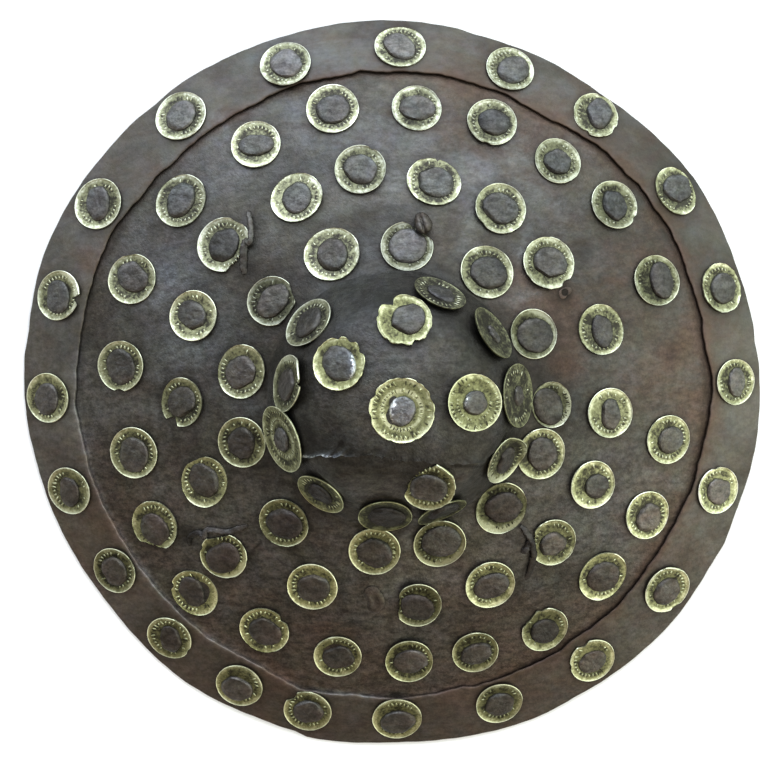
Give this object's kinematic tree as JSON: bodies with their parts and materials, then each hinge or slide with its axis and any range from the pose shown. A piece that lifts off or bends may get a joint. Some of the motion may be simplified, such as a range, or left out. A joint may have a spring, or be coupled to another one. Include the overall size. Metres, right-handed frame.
{
  "type": "buckler shield",
  "caption": "Round iron buckler: a dished plate raised to a central boss, sheeted with a rim band and boss cover and set with rows of brass counters under rivet heads.",
  "frame": {"origin": "on the ground under the middle of the shield's box as it lies face up on its rim, level with the rim's underside", "axes": "+Z from the back of the shield out through the boss, +Y towards the upper edge of the shield, +X to the right as seen from the face"},
  "size_m": [0.3679, 0.362, 0.085],
  "materials": {
    "field_iron": "old dark brown-grey patina with rust-red patches",
    "band_iron": "old dark patina, redder where rust shows",
    "cover_iron": "dark patina with a thin blue-grey sheen",
    "grip_iron": "dull, pitted and dark",
    "rivet_iron": "hammered, dark, lighter on the worn facets",
    "brass": "worn yellow, bright on the raised edge and olive in the hollows"
  },
  "bodies": {
    "root": {"boss_cover": "cover_iron", "counter_foot_01": "brass", "counter_foot_02": "brass", "counter_foot_03": "brass", "counter_foot_04": "brass", "counter_foot_05": "brass", "counter_foot_06": "brass", "counter_foot_07": "brass", "counter_foot_08": "brass", "counter_foot_09": "brass", "counter_foot_10": "brass", "counter_foot_11": "brass", "counter_foot_12": "brass", "counter_foot_13": "brass", "counter_third_01": "brass", "counter_third_02": "brass", "counter_third_03": "brass", "counter_third_04": "brass", "counter_third_05": "brass", "counter_third_06": "brass", "counter_third_07": "brass", "counter_third_08": "brass", "counter_third_09": "brass", "counter_third_10": "brass", "counter_third_11": "brass", "counter_third_12": "brass", "counter_third_13": "brass", "counter_third_14": "brass", "counter_third_15": "brass", "counter_third_16": "brass", "counter_third_17": "brass", "counter_top_01": "brass", "counter_top_02": "brass", "counter_top_03": "brass", "counter_top_04": "brass", "counter_top_05": "brass", "counter_wall_01": "brass", "counter_wall_02": "brass", "counter_wall_03": "brass", "counter_wall_04": "brass", "counter_wall_05": "brass", "counter_wall_06": "brass", "counter_wall_07": "brass", "counter_wall_08": "brass", "counter_wall_09": "brass", "counter_wall_10": "brass", "field_plate": "field_iron", "grip_fastener_lower": "grip_iron", "grip_fastener_upper": "grip_iron", "hand_grip": "grip_iron", "rim_band": "band_iron", "strap_staple_1": "grip_iron", "strap_staple_2": "grip_iron", "strap_staple_3": "grip_iron"}
  },
  "joints": []
}
